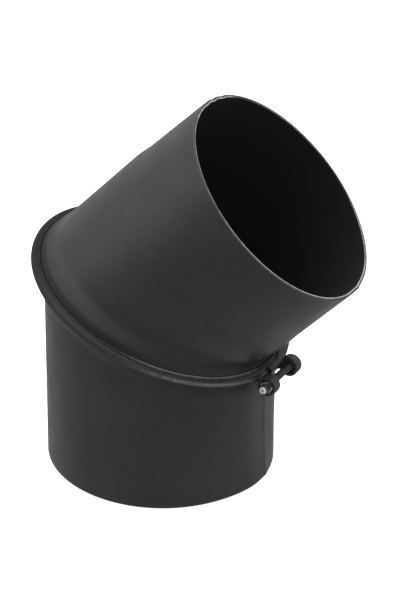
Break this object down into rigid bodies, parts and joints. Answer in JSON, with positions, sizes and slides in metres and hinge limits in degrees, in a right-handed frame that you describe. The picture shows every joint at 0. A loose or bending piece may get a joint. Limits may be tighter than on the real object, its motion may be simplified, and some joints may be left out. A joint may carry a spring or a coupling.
{
  "type": "flue elbow",
  "caption": "Black adjustable stove-pipe elbow: tube halves that swivel at a slanted flanged joint, held by a clamp band with a screw, from straight to a 45 degree bend.",
  "frame": {"origin": "middle of the lower tube's open end", "axes": "+Z along the lower tube's axis, up into the elbow; +X the way the upper tube leans"},
  "size_m": [0.2131, 0.177, 0.2497],
  "materials": {
    "tube_paint": "matt heat-resistant paint",
    "band_paint": "satin heat-resistant paint",
    "bush_paint": "matt heat-resistant paint",
    "screw_paint": "painted over, worn to bare zinc at the tip",
    "zinc": "zinc plated, scuffed"
  },
  "bodies": {
    "lower": {"lower_tube": "tube_paint"},
    "upper": {"upper_tube": "tube_paint"},
    "clamp": {"clamp_band": "band_paint", "front_sleeve": "bush_paint", "rear_sleeve": "bush_paint"},
    "bolt": {"clamp_bolt": "screw_paint"},
    "nut": {"clamp_nut": "zinc"}
  },
  "joints": [
    {"name": "upper_swivel", "type": "hinge", "parent": "lower", "child": "upper", "pos_m": [-0.00134, 0, 0.11677], "axis": [0.3827, 0, 0.9239], "continuous": true},
    {"name": "band_swivel", "type": "hinge", "parent": "lower", "child": "clamp", "pos_m": [-0.00134, 0, 0.11677], "axis": [0.3827, 0, 0.9239], "continuous": true},
    {"name": "bolt_turn", "type": "hinge", "parent": "clamp", "child": "bolt", "pos_m": [0.08565, -0.00661, 0.07992], "axis": [0.0644, 0.9976, -0.0267], "range_deg": [0, 1440]},
    {"name": "nut_travel", "type": "slide", "parent": "clamp", "child": "nut", "axis": [-0.0644, -0.9976, 0.0267], "range_m": [0, 0.0032]}
  ],
  "couplings": [
    {"joint": "bolt_turn", "follows": "nut_travel", "rad_per_m": 7854}
  ]
}
